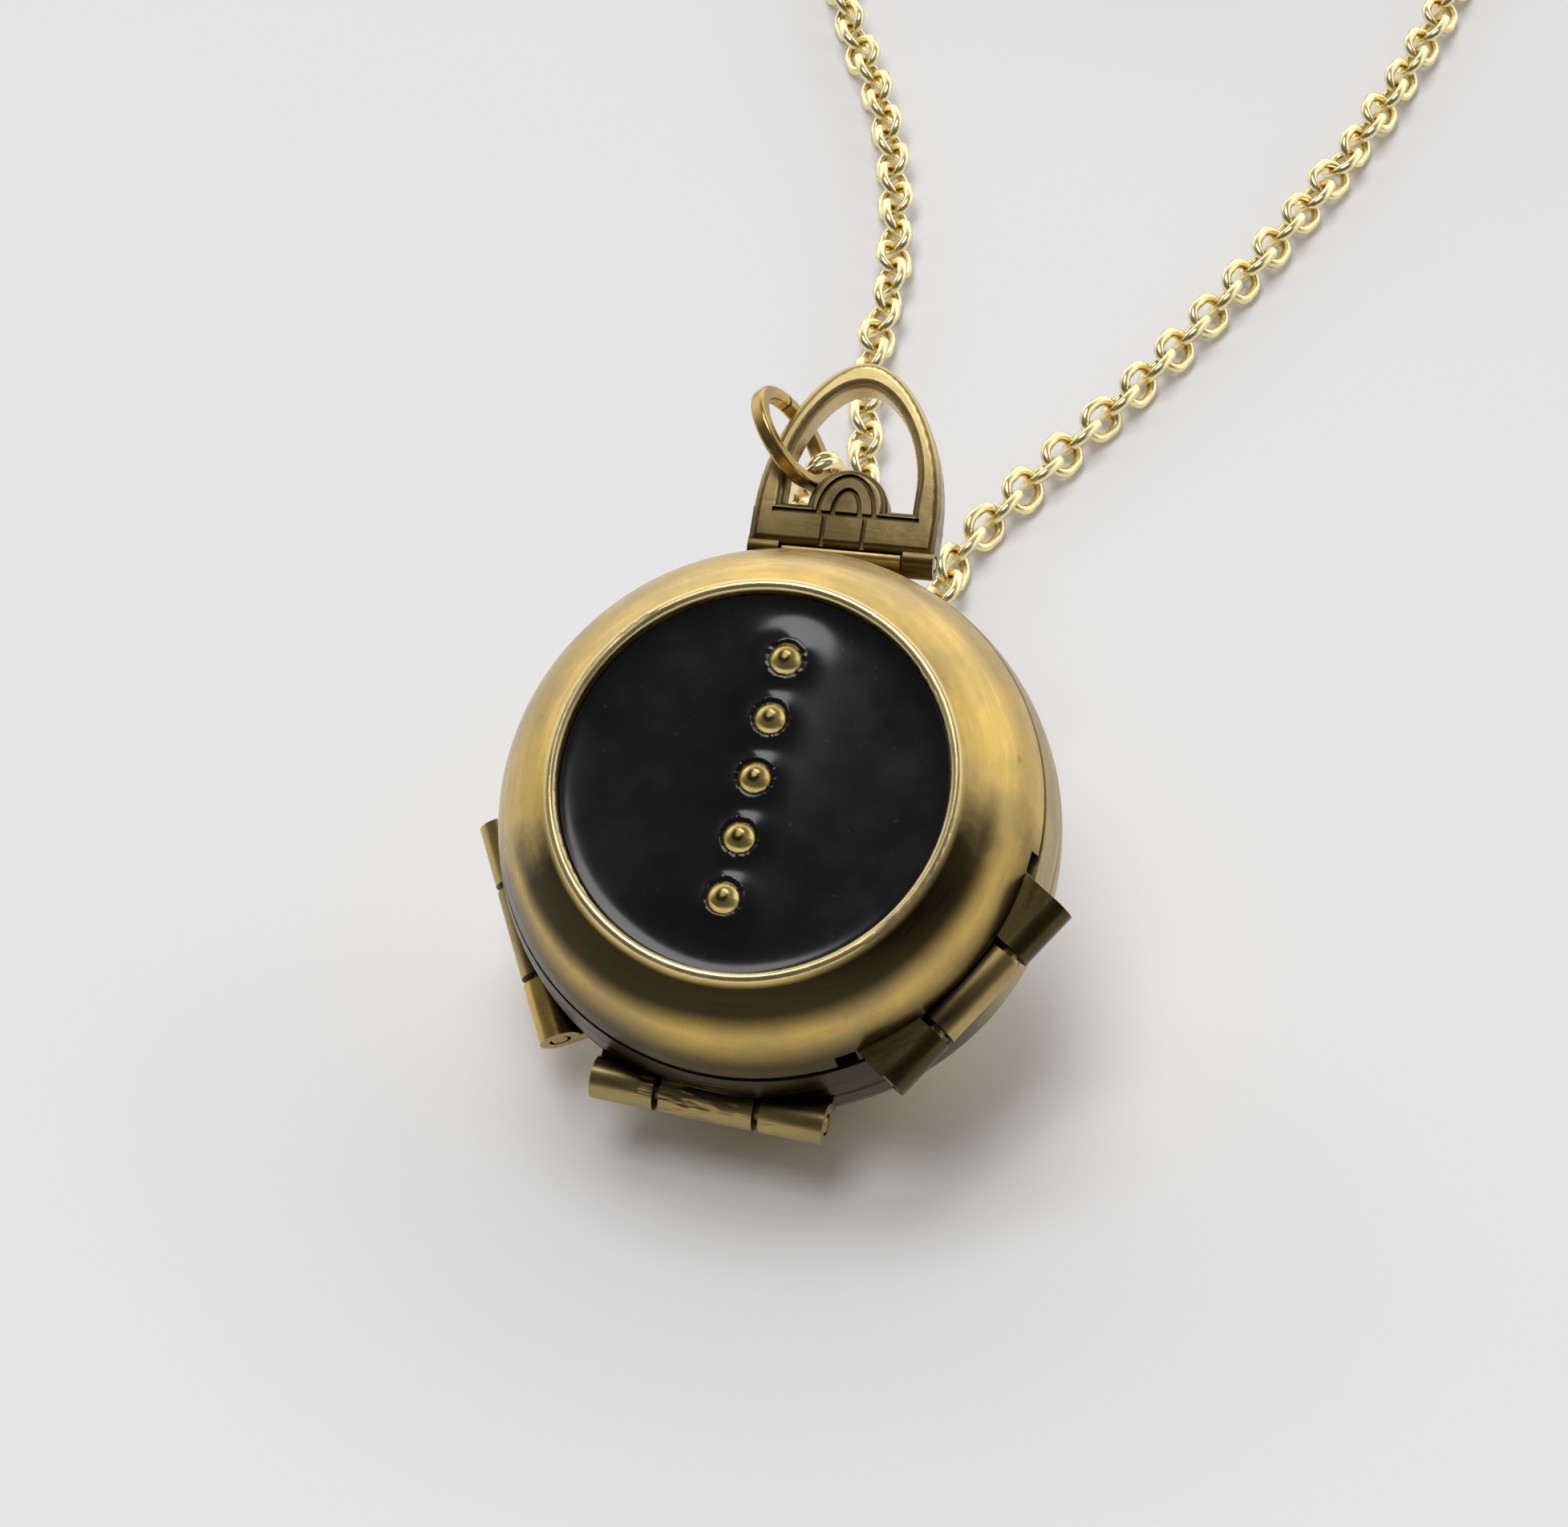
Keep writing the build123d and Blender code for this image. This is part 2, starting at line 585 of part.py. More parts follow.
def build():
    nodes = {}
    nodes["back_shell"] = LOCKET * back_shell()
    nodes["back_tray"] = LOCKET * tray(-1)
    shell_seat = LEAF_T + SEAM + RECESS_DEPTH
    add_sides(nodes, "back", photo_side(-shell_seat, 1))

    leaves = {
        "rear_leaf": (
            -LEAF_T,
            [("a", "middle", 1), ("b", "outer", -1)],
            [("a", "outer"), ("b", "middle")],
        ),
        "front_leaf": (
            0.0,
            [("b", "middle", 1), ("c", "middle", -1)],
            [("b", "outer"), ("c", "outer")],
        ),
    }
    for name, (low, own, others) in leaves.items():
        nodes[f"{name}_frame"] = LOCKET * hinged(leaf(low), own, others)
        for side, pieces in leaf_sides(low).items():
            add_sides(nodes, f"{name}_{side}", pieces)

    nodes["front_shell"] = LOCKET * front_shell()
    nodes["front_tray"] = LOCKET * tray(1)
    add_sides(nodes, "front", photo_side(shell_seat, -1))
    nodes["enamel_inlay"] = LOCKET * enamel_inlay()
    for number, v in enumerate(bead_places(), start=1):
        nodes[f"bead_{number}"] = LOCKET * Pos(0, v, 0) * bead()

    for name in HINGES:
        nodes[f"hinge_{name}_pin"] = LOCKET * hinge_pin(name)

    nodes["bail_lug"] = bail_lug()
    nodes["bail_pin"] = bail_pin()
    nodes["bail"] = bail()
    nodes["jump_ring"] = jump_ring()

    nodes["chain_left_coil"] = coil(LEFT_COIL, LEFT_TURNS)
    nodes["chain_right_coil"] = coil(RIGHT_COIL, RIGHT_TURNS)
    nodes["chain_left"] = strand("chain_left", LEFT_ROUTE, nodes["chain_left_coil"])
    nodes["chain_right"] = strand("chain_right", RIGHT_ROUTE, nodes["chain_right_coil"])
    nodes["clasp_body"] = clasp_body()
    nodes["clasp_bolt"] = clasp_bolt()
    nodes["clasp_link"] = clasp_link()
    nodes["chain_end_ring"] = chain_end_ring()
    return nodes


def main():
    for name, shape in build().items():
        export_step(shape, f"parts/{name}.step")


main()
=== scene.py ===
import json
import math
import random

import bpy
from mathutils import Matrix, Vector


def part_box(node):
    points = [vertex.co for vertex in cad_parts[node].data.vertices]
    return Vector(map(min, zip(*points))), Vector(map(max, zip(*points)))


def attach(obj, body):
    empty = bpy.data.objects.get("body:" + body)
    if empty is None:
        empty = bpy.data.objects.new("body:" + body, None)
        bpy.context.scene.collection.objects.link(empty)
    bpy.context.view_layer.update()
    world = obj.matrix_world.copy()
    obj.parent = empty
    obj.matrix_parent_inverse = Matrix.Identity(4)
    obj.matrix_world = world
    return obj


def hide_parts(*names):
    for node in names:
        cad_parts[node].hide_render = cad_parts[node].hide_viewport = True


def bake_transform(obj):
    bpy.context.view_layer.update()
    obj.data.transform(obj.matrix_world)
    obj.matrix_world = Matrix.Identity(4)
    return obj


# A ball locket on a fine chain. Metres, +Z up, in the CAD model's frame.
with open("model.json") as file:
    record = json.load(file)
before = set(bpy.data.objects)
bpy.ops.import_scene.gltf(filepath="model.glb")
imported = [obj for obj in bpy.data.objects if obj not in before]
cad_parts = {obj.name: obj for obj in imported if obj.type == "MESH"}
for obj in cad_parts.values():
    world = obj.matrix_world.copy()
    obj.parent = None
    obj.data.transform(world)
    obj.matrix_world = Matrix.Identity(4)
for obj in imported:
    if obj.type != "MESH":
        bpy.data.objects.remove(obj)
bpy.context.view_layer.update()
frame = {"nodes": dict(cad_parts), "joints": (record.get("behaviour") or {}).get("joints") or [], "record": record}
MM = 0.001

# ---------------------------------------------------------------- the locket's own frame
# U across, V towards the bail, W out of the front, read from the hinges and the enamel disc.
AXES = {joint["name"]: Vector(joint["axis"]) for joint in frame["joints"]}
U = AXES["front_leaf_hinge"].normalized()
V = (AXES["front_cover_hinge"] - AXES["rear_leaf_hinge"]).normalized()
W = U.cross(V)
ENAMEL_LOW, ENAMEL_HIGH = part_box("enamel_inlay")
ENAMEL_MIDDLE = (Vector(ENAMEL_LOW) + Vector(ENAMEL_HIGH)) / 2
ENAMEL_R = (ENAMEL_HIGH[0] - ENAMEL_LOW[0]) / 2
ENAMEL_T = 0.5 * MM                  # of the CAD disc
ENAMEL_BED_W = 5.1 * MM              # from the ball's middle out to the disc's underside
BALL = ENAMEL_MIDDLE - W * (ENAMEL_BED_W + ENAMEL_T / 2)

# ---------------------------------------------------------------- camera
VIEW_AZIMUTH = 17.0                  # degrees to the right of the front
VIEW_ELEVATION = 40.0                # degrees above the floor
VIEW_DISTANCE = 0.2                  # from the ball's middle
LENS_MM = 129.5
SHIFT = (0.0023, 0.0425)             # shares of the frame, since the ball isn't in its middle
NEAREST = 0.01                       # clip distance


def make_camera():
    a, e = math.radians(VIEW_AZIMUTH), math.radians(VIEW_ELEVATION)
    back = Vector((math.sin(a) * math.cos(e), -math.cos(a) * math.cos(e), math.sin(e)))
    data = bpy.data.cameras.new("camera")
    data.lens = LENS_MM
    data.shift_x, data.shift_y = SHIFT
    data.clip_start = NEAREST
    camera = bpy.data.objects.new("camera", data)
    bpy.context.scene.collection.objects.link(camera)
    camera.location = BALL + back * VIEW_DISTANCE
    camera.rotation_euler = (-back).to_track_quat("-Z", "Y").to_euler()
    bpy.context.scene.camera = camera


make_camera()

# ---------------------------------------------------------------- chain
# Routes in millimetres, as the CAD strands have them, from the jump ring to the clasp.
FLOOR_Z = 0.96
LEFT_ROUTE = (
    (-3.8, 11.0, 13.2),
    (-4.2, 11.8, 9.8),
    (-4.5, 13.4, 6.4),
    (-4.7, 16.6, 3.0),
    (-5.0, 20.8, FLOOR_Z),
    (-5.6, 25.5, FLOOR_Z),
    (-6.7, 30.5, FLOOR_Z),
    (-8.5, 37.0, FLOOR_Z),
    (-9.2, 43.5, FLOOR_Z),
    (-11.0, 50.2, FLOOR_Z),
    (-13.6, 57.0, FLOOR_Z),
    (-17.6, 63.9, FLOOR_Z),
    (-20.2, 71.4, FLOOR_Z),
    (-21.2, 77.4, FLOOR_Z),
)
RIGHT_ROUTE = (
    (-1.6, 11.0, 13.2),
    (-1.5, 11.8, 9.8),
    (-1.3, 13.4, 6.4),
    (-1.1, 16.6, 3.0),
    (-1.1, 20.8, FLOOR_Z),
    (-1.5, 25.4, FLOOR_Z),
    (0.2, 31.2, FLOOR_Z),
    (2.3, 37.7, FLOOR_Z),
    (4.3, 44.6, FLOOR_Z),
    (6.1, 52.4, FLOOR_Z),
    (7.6, 60.2, FLOOR_Z),
    (8.5, 67.6, FLOOR_Z),
    (9.0, 75.0, FLOOR_Z),
    (9.3, 82.6, FLOOR_Z),
    (9.4, 90.4, FLOOR_Z),
    (9.3, 98.0, FLOOR_Z),
    (9.05, 105.4, FLOOR_Z),
)
RING_LOW = (-2.58, 10.38, 15.59)     # middle of the jump ring's wire where it hangs lowest
COIL_PITCH = 2.0                     # how much closer in each turn lies
TAIL_TURNS = 0.45                    # the last stretch, in to the clasp or the end ring
TAIL_END_Z = 0.75
POINTS_PER_TURN = 16
SPLINE_STEPS = 16                    # points to each stretch between a spline's control points

# A coil's middle and radii are in millimetres, and the length is in metres.
LEFT = {
    "name": "left", "route": LEFT_ROUTE, "centre": (-9.0, 84.4), "start_turn": 0.5, "winding": -1,
    "outer_r": 12.2, "turns": 2.3, "tail_r": 5.35, "length": 0.236, "seed": 3,
    "ends": ("clasp_body", "clasp_bolt", "clasp_link"),
}
RIGHT = {
    "name": "right", "route": RIGHT_ROUTE, "centre": (-3.5, 111.3), "start_turn": 0.0, "winding": 1,
    "outer_r": 12.3, "turns": 1.3, "tail_r": 5.75, "length": 0.221, "seed": 8,
    "ends": ("chain_end_ring",),
}

WIRE_R = 0.22 * MM
LINK_HALF_LENGTH = 1.18 * MM
LINK_HALF_WIDTH = 0.92 * MM
LINK_PITCH = 1.5 * MM
LINK_SEGMENTS = 20
WIRE_SEGMENTS = 8
LINK_LEAN = math.radians(45)         # links lean this much to one side and the other in turn
LEAN_PLAY = 0.22                     # give or take, in radians
SIDE_PLAY = 0.1                      # how far a link points to the side, for 1 along
LINK_SCALES = (0.97, 1.02)
STEEP = 0.8                          # where a strand climbs more than this, Y is its up
FIRST_LINK = 0.3 * LINK_PITCH        # from the jump ring's wire to the first link's middle
PATH_STEP = LINK_PITCH / 3
HEAD_LENGTH = 8.0 * MM               # the first stretch of a strand, from the jump ring, which is its head


def coil_points(side):
    """A neat flat coil wound inwards, then a tail that reaches the piece at its middle."""
    points = []
    count = round(POINTS_PER_TURN * side["turns"])
    for i in range(count + 1):
        turn = side["turns"] * i / count
        points.append((side["outer_r"] - COIL_PITCH * turn, turn, FLOOR_Z))
    inner_r = points[-1][0]
    count = round(POINTS_PER_TURN * TAIL_TURNS)
    for i in range(1, count + 1):
        share = i / count
        r = inner_r + (side["tail_r"] - inner_r) * share
        z = FLOOR_Z + (TAIL_END_Z - FLOOR_Z) * share
        points.append((r, side["turns"] + TAIL_TURNS * share, z))
    placed = []
    x, y = side["centre"]
    for r, turn, z in points:
        angle = 2 * math.pi * (side["start_turn"] + side["winding"] * turn)
        placed.append((x + r * math.cos(angle), y + r * math.sin(angle), z))
    return placed


def smooth_line(points):
    """Points read from the NURBS spline whose control points are the route's, in metres."""
    data = bpy.data.curves.new("route", "CURVE")
    data.dimensions = "3D"
    data.resolution_u = SPLINE_STEPS
    spline = data.splines.new("NURBS")
    spline.points.add(len(points) - 1)
    for control, point in zip(spline.points, points):
        control.co = (*(Vector(point) * MM), 1)
    spline.order_u = 3
    spline.use_endpoint_u = True
    curve = bpy.data.objects.new("route", data)
    bpy.context.scene.collection.objects.link(curve)
    mesh = bpy.data.meshes.new_from_object(curve)
    line = [v.co.copy() for v in mesh.vertices]
    bpy.data.objects.remove(curve)
    bpy.data.meshes.remove(mesh)
    return line


def spaced(line, step, offset=0.0):
    """(point, tangent, distance) at equal steps along a line."""
    found, travelled, wanted = [], 0.0, offset
    for a, b in zip(line, line[1:]):
        length = (b - a).length
        while length > 0 and wanted <= travelled + length:
            found.append((a.lerp(b, (wanted - travelled) / length), (b - a).normalized(), wanted))
            wanted += step
        travelled += length
    return found


def mesh_object(name, vertices, faces, smooth=True):
    mesh = bpy.data.meshes.new(name)
    mesh.from_pydata([tuple(v) for v in vertices], [], faces)
    mesh.update()
    if smooth:
        mesh.polygons.foreach_set("use_smooth", [True] * len(mesh.polygons))
    piece = bpy.data.objects.new(name, mesh)
    bpy.context.scene.collection.objects.link(piece)
    return piece


def link_outline():
    """(along, across) points and outward directions of an oval link's wire centre."""
    bend = LINK_HALF_WIDTH - WIRE_R
    straight = LINK_HALF_LENGTH - WIRE_R - bend
    outline = []
    for i in range(LINK_SEGMENTS):
        angle = 2 * math.pi * (i + 0.5) / LINK_SEGMENTS
        c, s = math.cos(angle), math.sin(angle)
        outline.append((c * bend + math.copysign(straight, c), s * bend, c, s))
    return outline


def add_link(vertices, faces, middle, along, across, scale):
    """One closed link in the plane of along and across."""
    normal = along.cross(across)
    first = len(vertices)
    for x, y, c, s in link_outline():
        centre = middle + (along * x + across * y) * scale
        outward = along * c + across * s
        for j in range(WIRE_SEGMENTS):
            turn = 2 * math.pi * j / WIRE_SEGMENTS
            vertices.append(centre + (outward * math.cos(turn) + normal * math.sin(turn)) * WIRE_R)
    for i in range(LINK_SEGMENTS):
        for j in range(WIRE_SEGMENTS):
            a = i * WIRE_SEGMENTS
            b = (i + 1) % LINK_SEGMENTS * WIRE_SEGMENTS
            k = (j + 1) % WIRE_SEGMENTS
            faces.append((first + a + j, first + b + j, first + b + k, first + a + k))


def chain_links(name, stations, rng):
    """Links that lean to one side and the other in turn, as a cable chain's do."""
    vertices, faces = [], []
    for number, (point, tangent, _) in enumerate(stations):
        up = Vector((0, 0, 1) if abs(tangent.z) < STEEP else (0, 1, 0))
        side = tangent.cross(up).normalized()
        lean = (LINK_LEAN if number % 2 else -LINK_LEAN) + rng.uniform(-LEAN_PLAY, LEAN_PLAY)
        along = (tangent + side * rng.uniform(-SIDE_PLAY, SIDE_PLAY)).normalized()
        across = Matrix.Rotation(lean, 3, along) @ side
        across = (across - along * across.dot(along)).normalized()
        add_link(vertices, faces, point, along, across, rng.uniform(*LINK_SCALES))
    return mesh_object(name, vertices, faces)


def make_strand(side):
    """A strand in two pieces: a head at the jump ring, and the rest, on the floor."""
    rng = random.Random(side["seed"])
    node = "chain_" + side["name"]
    line = smooth_line([RING_LOW, *side["route"], *coil_points(side)])
    stations = spaced(line, LINK_PITCH, FIRST_LINK)
    head_count = sum(1 for station in stations if station[2] < HEAD_LENGTH)
    head = chain_links(node + "_head", stations[:head_count], rng)
    rest_of_line = [p for p, _, s in spaced(line, PATH_STEP) if s >= HEAD_LENGTH]
    strand = chain_links(node + "_links", stations[head_count:], rng)
    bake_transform(head)
    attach(strand, "root")
    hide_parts(node, node + "_coil")
    return [head, strand]


CHAIN_PIECES = [*make_strand(LEFT), *make_strand(RIGHT)]

# ---------------------------------------------------------------- enamel
BEADS = [name for name in sorted(frame["nodes"]) if name.startswith("bead_")]
BEAD_R = 0.65 * MM
RIM_RISE = 0.12 * MM                 # how far the enamel climbs the lip, and over what distance
RIM_REACH = 0.32 * MM
BEAD_RISE = 0.12 * MM                # how far it climbs a bead
BEAD_REACH = 0.3 * MM
UNDER_BEAD = 0.3                     # and what share of that it keeps where the bead hides it
RIDGE_RISE = 0.21 * MM               # the long swelling that carries the row of beads
RIDGE_REACH = 1.5 * MM
ENAMEL_RINGS = 90
ENAMEL_SECTORS = 240
ENAMEL_POUR = 0.36 * MM              # depth of the enamel in the open field


def in_locket(point):
    offset = Vector(point) - BALL
    return offset.dot(U), offset.dot(V), offset.dot(W)


def node_middle(name):
    low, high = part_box(name)
    return (Vector(low) + Vector(high)) / 2


BEAD_SPOTS = [in_locket(node_middle(name))[:2] for name in BEADS]
RIDGE_V = (min(v for _, v in BEAD_SPOTS), max(v for _, v in BEAD_SPOTS))


def enamel_height(u, v):
    """Height of the enamel's surface over its bed."""
    height = ENAMEL_POUR + RIM_RISE * math.exp(-(ENAMEL_R - math.hypot(u, v)) / RIM_REACH)
    beyond = max(RIDGE_V[0] - v, 0, v - RIDGE_V[1])
    height += RIDGE_RISE * math.exp(-(math.hypot(u, beyond) / RIDGE_REACH) ** 2)
    for bead_u, bead_v in BEAD_SPOTS:
        clear = max(math.hypot(u - bead_u, v - bead_v) - BEAD_R, 0)
        height += BEAD_RISE * math.exp(-clear / BEAD_REACH) * (1 if clear > 0 else UNDER_BEAD)
    return height


def make_enamel():
    """Poured enamel: level in the open field, and drawn up to the lip and the beads."""
    bed = ENAMEL_BED_W

    def place(u, v, w):
        return BALL + U * u + V * v + W * w

    vertices, faces = [place(0, 0, bed + enamel_height(0, 0))], []
    for i in range(1, ENAMEL_RINGS + 1):
        r = ENAMEL_R * i / ENAMEL_RINGS
        for j in range(ENAMEL_SECTORS):
            angle = 2 * math.pi * j / ENAMEL_SECTORS
            u, v = r * math.cos(angle), r * math.sin(angle)
            vertices.append(place(u, v, bed + enamel_height(u, v)))
    under = len(vertices)
    for j in range(ENAMEL_SECTORS):
        angle = 2 * math.pi * j / ENAMEL_SECTORS
        vertices.append(place(ENAMEL_R * math.cos(angle), ENAMEL_R * math.sin(angle), bed))
    vertices.append(place(0, 0, bed))
    for j in range(ENAMEL_SECTORS):
        k = (j + 1) % ENAMEL_SECTORS
        faces.append((0, 1 + j, 1 + k))
        for i in range(ENAMEL_RINGS - 1):
            a, b = 1 + i * ENAMEL_SECTORS, 1 + (i + 1) * ENAMEL_SECTORS
            faces.append((a + j, b + j, b + k, a + k))
        last = 1 + (ENAMEL_RINGS - 1) * ENAMEL_SECTORS
        faces.append((last + j, under + j, under + k, last + k))
        faces.append((under + k, under + j, len(vertices) - 1))
    enamel = mesh_object("enamel_pour", vertices, faces)
    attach(enamel, "front_cover")
    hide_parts("enamel_inlay")
    return enamel


ENAMEL = make_enamel()

# ---------------------------------------------------------------- windows
PANE_GAP = 0.02 * MM                 # clearance all round, so that no face lies in a neighbour's
PANE_EDGE = 0.04 * MM                # how much of its edge is broken
PANE_SEGMENTS = 96


def make_pane(node, body):
    """A clear disc with a broken edge, a hair smaller than the window that it stands for."""
    spots = [in_locket(vertex.co) for vertex in frame["nodes"][node].data.vertices]
    radius = max(math.hypot(u, v) for u, v, _ in spots) - PANE_GAP
    low = min(w for _, _, w in spots) + PANE_GAP
    high = max(w for _, _, w in spots) - PANE_GAP
    inner = radius - PANE_EDGE
    sides = ((radius, low + PANE_EDGE), (radius, high - PANE_EDGE))
    vertices = []
    for r, w in ((inner, low), *sides, (inner, high)):
        for j in range(PANE_SEGMENTS):
            angle = 2 * math.pi * j / PANE_SEGMENTS
            vertices.append(BALL + U * r * math.cos(angle) + V * r * math.sin(angle) + W * w)
    under, upper = range(PANE_SEGMENTS), range(3 * PANE_SEGMENTS, 4 * PANE_SEGMENTS)
    faces = [tuple(reversed(under)), tuple(upper)]
    for first in range(0, 3 * PANE_SEGMENTS, PANE_SEGMENTS):
        above = first + PANE_SEGMENTS
        for j in range(PANE_SEGMENTS):
            k = (j + 1) % PANE_SEGMENTS
            faces.append((first + j, first + k, above + k, above + j))
    pane = mesh_object(node.replace("window", "pane"), vertices, faces, smooth=False)
    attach(pane, body)
    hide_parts(node)
    return pane


PANES = [
    make_pane(node, body)
    for body, nodes in frame["record"]["behaviour"]["bodies"].items()
    for node in nodes
    if node.endswith("window")
]

# ---------------------------------------------------------------- materials
NOISE_SPAN = (0.3, 0.7)              # nearly all of a noise's values lie between these
AO_SAMPLES = 6


class Tree:
    """A material's or world's nodes, written as calls that take numbers, colours or sockets."""

    def __init__(self, name, holders=bpy.data.materials, shader="Principled BSDF"):
        self.owner = holders.new(name)
        self.owner.use_nodes = True
        self.tree = self.owner.node_tree
        self.shader = self.tree.nodes[shader]

    def node(self, kind, inputs=(), **settings):
        node = self.tree.nodes.new(kind)
        for key, value in settings.items():
            setattr(node, key, value)
        for key, value in dict(inputs).items():
            self.put(node.inputs[key], value)
        return node

    def put(self, socket, value):
        if isinstance(value, bpy.types.NodeSocket):
            self.tree.links.new(value, socket)
        else:
            socket.default_value = value

    def set(self, **inputs):
        for key, value in inputs.items():
            self.put(self.shader.inputs[key.replace("_", " ")], value)

    def math(self, operation, a, b=0.0):
        return self.node("ShaderNodeMath", {0: a, 1: b}, operation=operation).outputs[0]

    def plus(self, a, b):
        return self.math("ADD", a, b)

    def times(self, a, b):
        return self.math("MULTIPLY", a, b)

    def dot(self, a, b):
        node = self.node("ShaderNodeVectorMath", {0: a, 1: b}, operation="DOT_PRODUCT")
        return node.outputs["Value"]

    def vector(self, x, y, z):
        return self.node("ShaderNodeCombineXYZ", {0: x, 1: y, 2: z}).outputs[0]

    def noise(self, where, scale, detail=3.0, rough=0.5):
        inputs = {"Vector": where, "Scale": scale, "Detail": detail, "Roughness": rough}
        return self.node("ShaderNodeTexNoise", inputs).outputs[0]

    def span(self, value, low, high, to_low=0.0, to_high=1.0):
        inputs = {"Value": value, 1: low, 2: high, 3: to_low, 4: to_high}
        node = self.node("ShaderNodeMapRange", inputs, interpolation_type="SMOOTHSTEP")
        return node.outputs[0]

    def below(self, value, low, high, share=1.0):
        """The share up to low, fading to nothing at high."""
        return self.span(value, low, high, share, 0.0)

    def ragged(self, value, noise, reach):
        """A value pushed up and down by a noise, so that what fades along it has a ragged edge."""
        return self.plus(value, self.span(noise, *NOISE_SPAN, -reach, reach))

    def mix(self, share, a, b):
        node = self.node("ShaderNodeMix", data_type="RGBA")
        for index, value in ((0, share), (6, a), (7, b)):
            self.put(node.inputs[index], value)
        return node.outputs[2]

    def bump(self, height, strength, distance, under=None):
        inputs = {"Height": height, "Strength": strength, "Distance": distance}
        if under:
            inputs["Normal"] = under
        return self.node("ShaderNodeBump", inputs).outputs[0]

    def openness(self, distance):
        """1 in the open, and less in hollows and corners up to this far across."""
        inputs = {"Distance": distance}
        node = self.node("ShaderNodeAmbientOcclusion", inputs, samples=AO_SAMPLES)
        return node.outputs["AO"]

    def place(self):
        return self.node("ShaderNodeTexCoord").outputs["Object"]

    def locket_coordinates(self, place):
        """u, v, w and the distance from the W axis, in metres, of a place."""
        inputs = {0: place, 1: tuple(BALL)}
        offset = self.node("ShaderNodeVectorMath", inputs, operation="SUBTRACT").outputs[0]
        u, v, w = (self.dot(offset, tuple(axis)) for axis in (U, V, W))
        r = self.math("SQRT", self.plus(self.times(u, u), self.times(v, v)))
        return u, v, w, r


def rgb(r, g, b):
    return (r, g, b, 1.0)


GOLD = rgb(0.72, 0.49, 0.13)
KHAKI = rgb(0.49, 0.355, 0.132)
# olive black, for painted shade and painted dark reflections
SHADE_OLIVE = rgb(0.028, 0.021, 0.010)
# polished brass, brightened further as a painted highlight on the lip
LIP_HIGHLIGHT = rgb(0.92, 0.74, 0.36)
# near black, for tarnish specks, and for patina with painted shade in hollows
PATINA_AND_SHADE = rgb(0.020, 0.015, 0.009)

# The brass's grain and age, and the painted shade in its hollows. A scale is in features per metre, a bump is a
# strength and a depth.
STREAK_SCALE = 2600.0                # across the brushing
TURNED_RADIAN = 0.0012               # metres that a radian round the W axis counts as, if turned
ACROSS_SHRINK = (0.08, 0.2)          # and a metre along U and along W, if brushed across
BLOTCH_SCALE = 260.0
SPECK_SCALE = 1500.0
BLOTCH_SPAN = (0.36, 0.66)
STREAK_SPAN = (0.35, 0.75)
SPECK_SPAN = (0.66, 0.8)
STREAK_SHARE = 0.35
SPECK_SHARE = 0.3
STREAK_BUMP = (0.14, 0.02 * MM)
SPECK_BUMP = (0.18, 0.03 * MM)
POLISH = (-0.05, 0.09)               # how far the roughness strays from streak to streak
CAVITY = 0.7 * MM                    # hollows and gaps between parts up to this wide are black: patina, and painted shade
CAVITY_SPAN = (0.32, 0.78)
CAVITY_ROUGHER = 0.25

# Where the brass has painted shade, painted reflections, a painted highlight or bare metal, in the locket's
# coordinates.
LIP_R = (7.2 * MM, 7.4 * MM)         # the polished lip, painted brighter as a highlight, fades out here
BAND_IN_R = (7.3 * MM, 7.5 * MM)     # the band of painted dark reflection outside the lip comes in here
BAND_OUT_R = (8.2 * MM, 9.0 * MM)    # and fades out here
BAND_WIDER = 0.035                   # and is this much wider for each millimetre to the left
BAND_W = (4.0 * MM, 4.6 * MM)        # the painted lip highlight and the painted band are in front of this
EDGE_W = (2.9 * MM, 4.5 * MM)        # the front cover has painted shade below this, for the reflected shadow under the ball, down to its seam
SEAM_W = (0.8 * MM, 1.2 * MM)
EDGE_SHARE = 0.93
LOW_V = (-3.2 * MM, -0.2 * MM)       # the painted band and the painted edge shade are only in the lower half
LOW_TILT = -0.25                     # which starts higher at the right than at the left
LOW_RAGGED = 0.7 * MM
RIM_R = (10.1 * MM, 10.6 * MM)       # the leaves' rims have painted shade inside this, in their lower part
RIM_V = (-6.5 * MM, -3.5 * MM)
CROWN_W = (5.965 * MM, 6.0 * MM)     # the beads are painted dark on top, above this, for a dark reflection
CROWN_SHARE = 0.85
RUBBED_V = (12.2 * MM, 17.0 * MM)    # the bail is darkest below this, with patina and a painted dark reflection, and bare above it
RUBBED_U = -1.0 * MM                 # at its middle, and towards its legs it gets barer
RUBBED_OUTWARDS = 0.35               # as if each millimetre outwards were this much higher
RUBBED_RAGGED = 0.8 * MM
SCRATCHED_V = -9.8 * MM              # the scratched knuckle: below this, and this far to each side
SCRATCHED_U = 2.6 * MM
SCRATCHED_EDGE = 0.2 * MM
GOUGE_SCALE = 1400.0
GOUGE_SHRINK = 0.25                  # they run along U
GOUGE_SPAN = (0.5, 0.64)
GOUGE_DEPTH = 0.08 * MM
GOUGE_SHINE = 0.25


def painted_dark_band(t, u, v, w, r, blotches):
    """Painted shade on the front cover: a band outside its lip for a dark reflection, and its edge down to the
    seam for the reflected shadow under the ball.
    """
    widened = t.plus(r, t.times(t.math("MINIMUM", u, 0.0), BAND_WIDER))
    across = t.times(t.span(r, *BAND_IN_R), t.below(widened, *BAND_OUT_R))
    edge = t.times(t.below(w, *EDGE_W, EDGE_SHARE), t.span(w, *SEAM_W))
    low = t.below(t.ragged(t.plus(v, t.times(u, LOW_TILT)), blotches, LOW_RAGGED), *LOW_V)
    return t.times(t.math("MAXIMUM", t.times(across, t.span(w, *BAND_W)), edge), low)


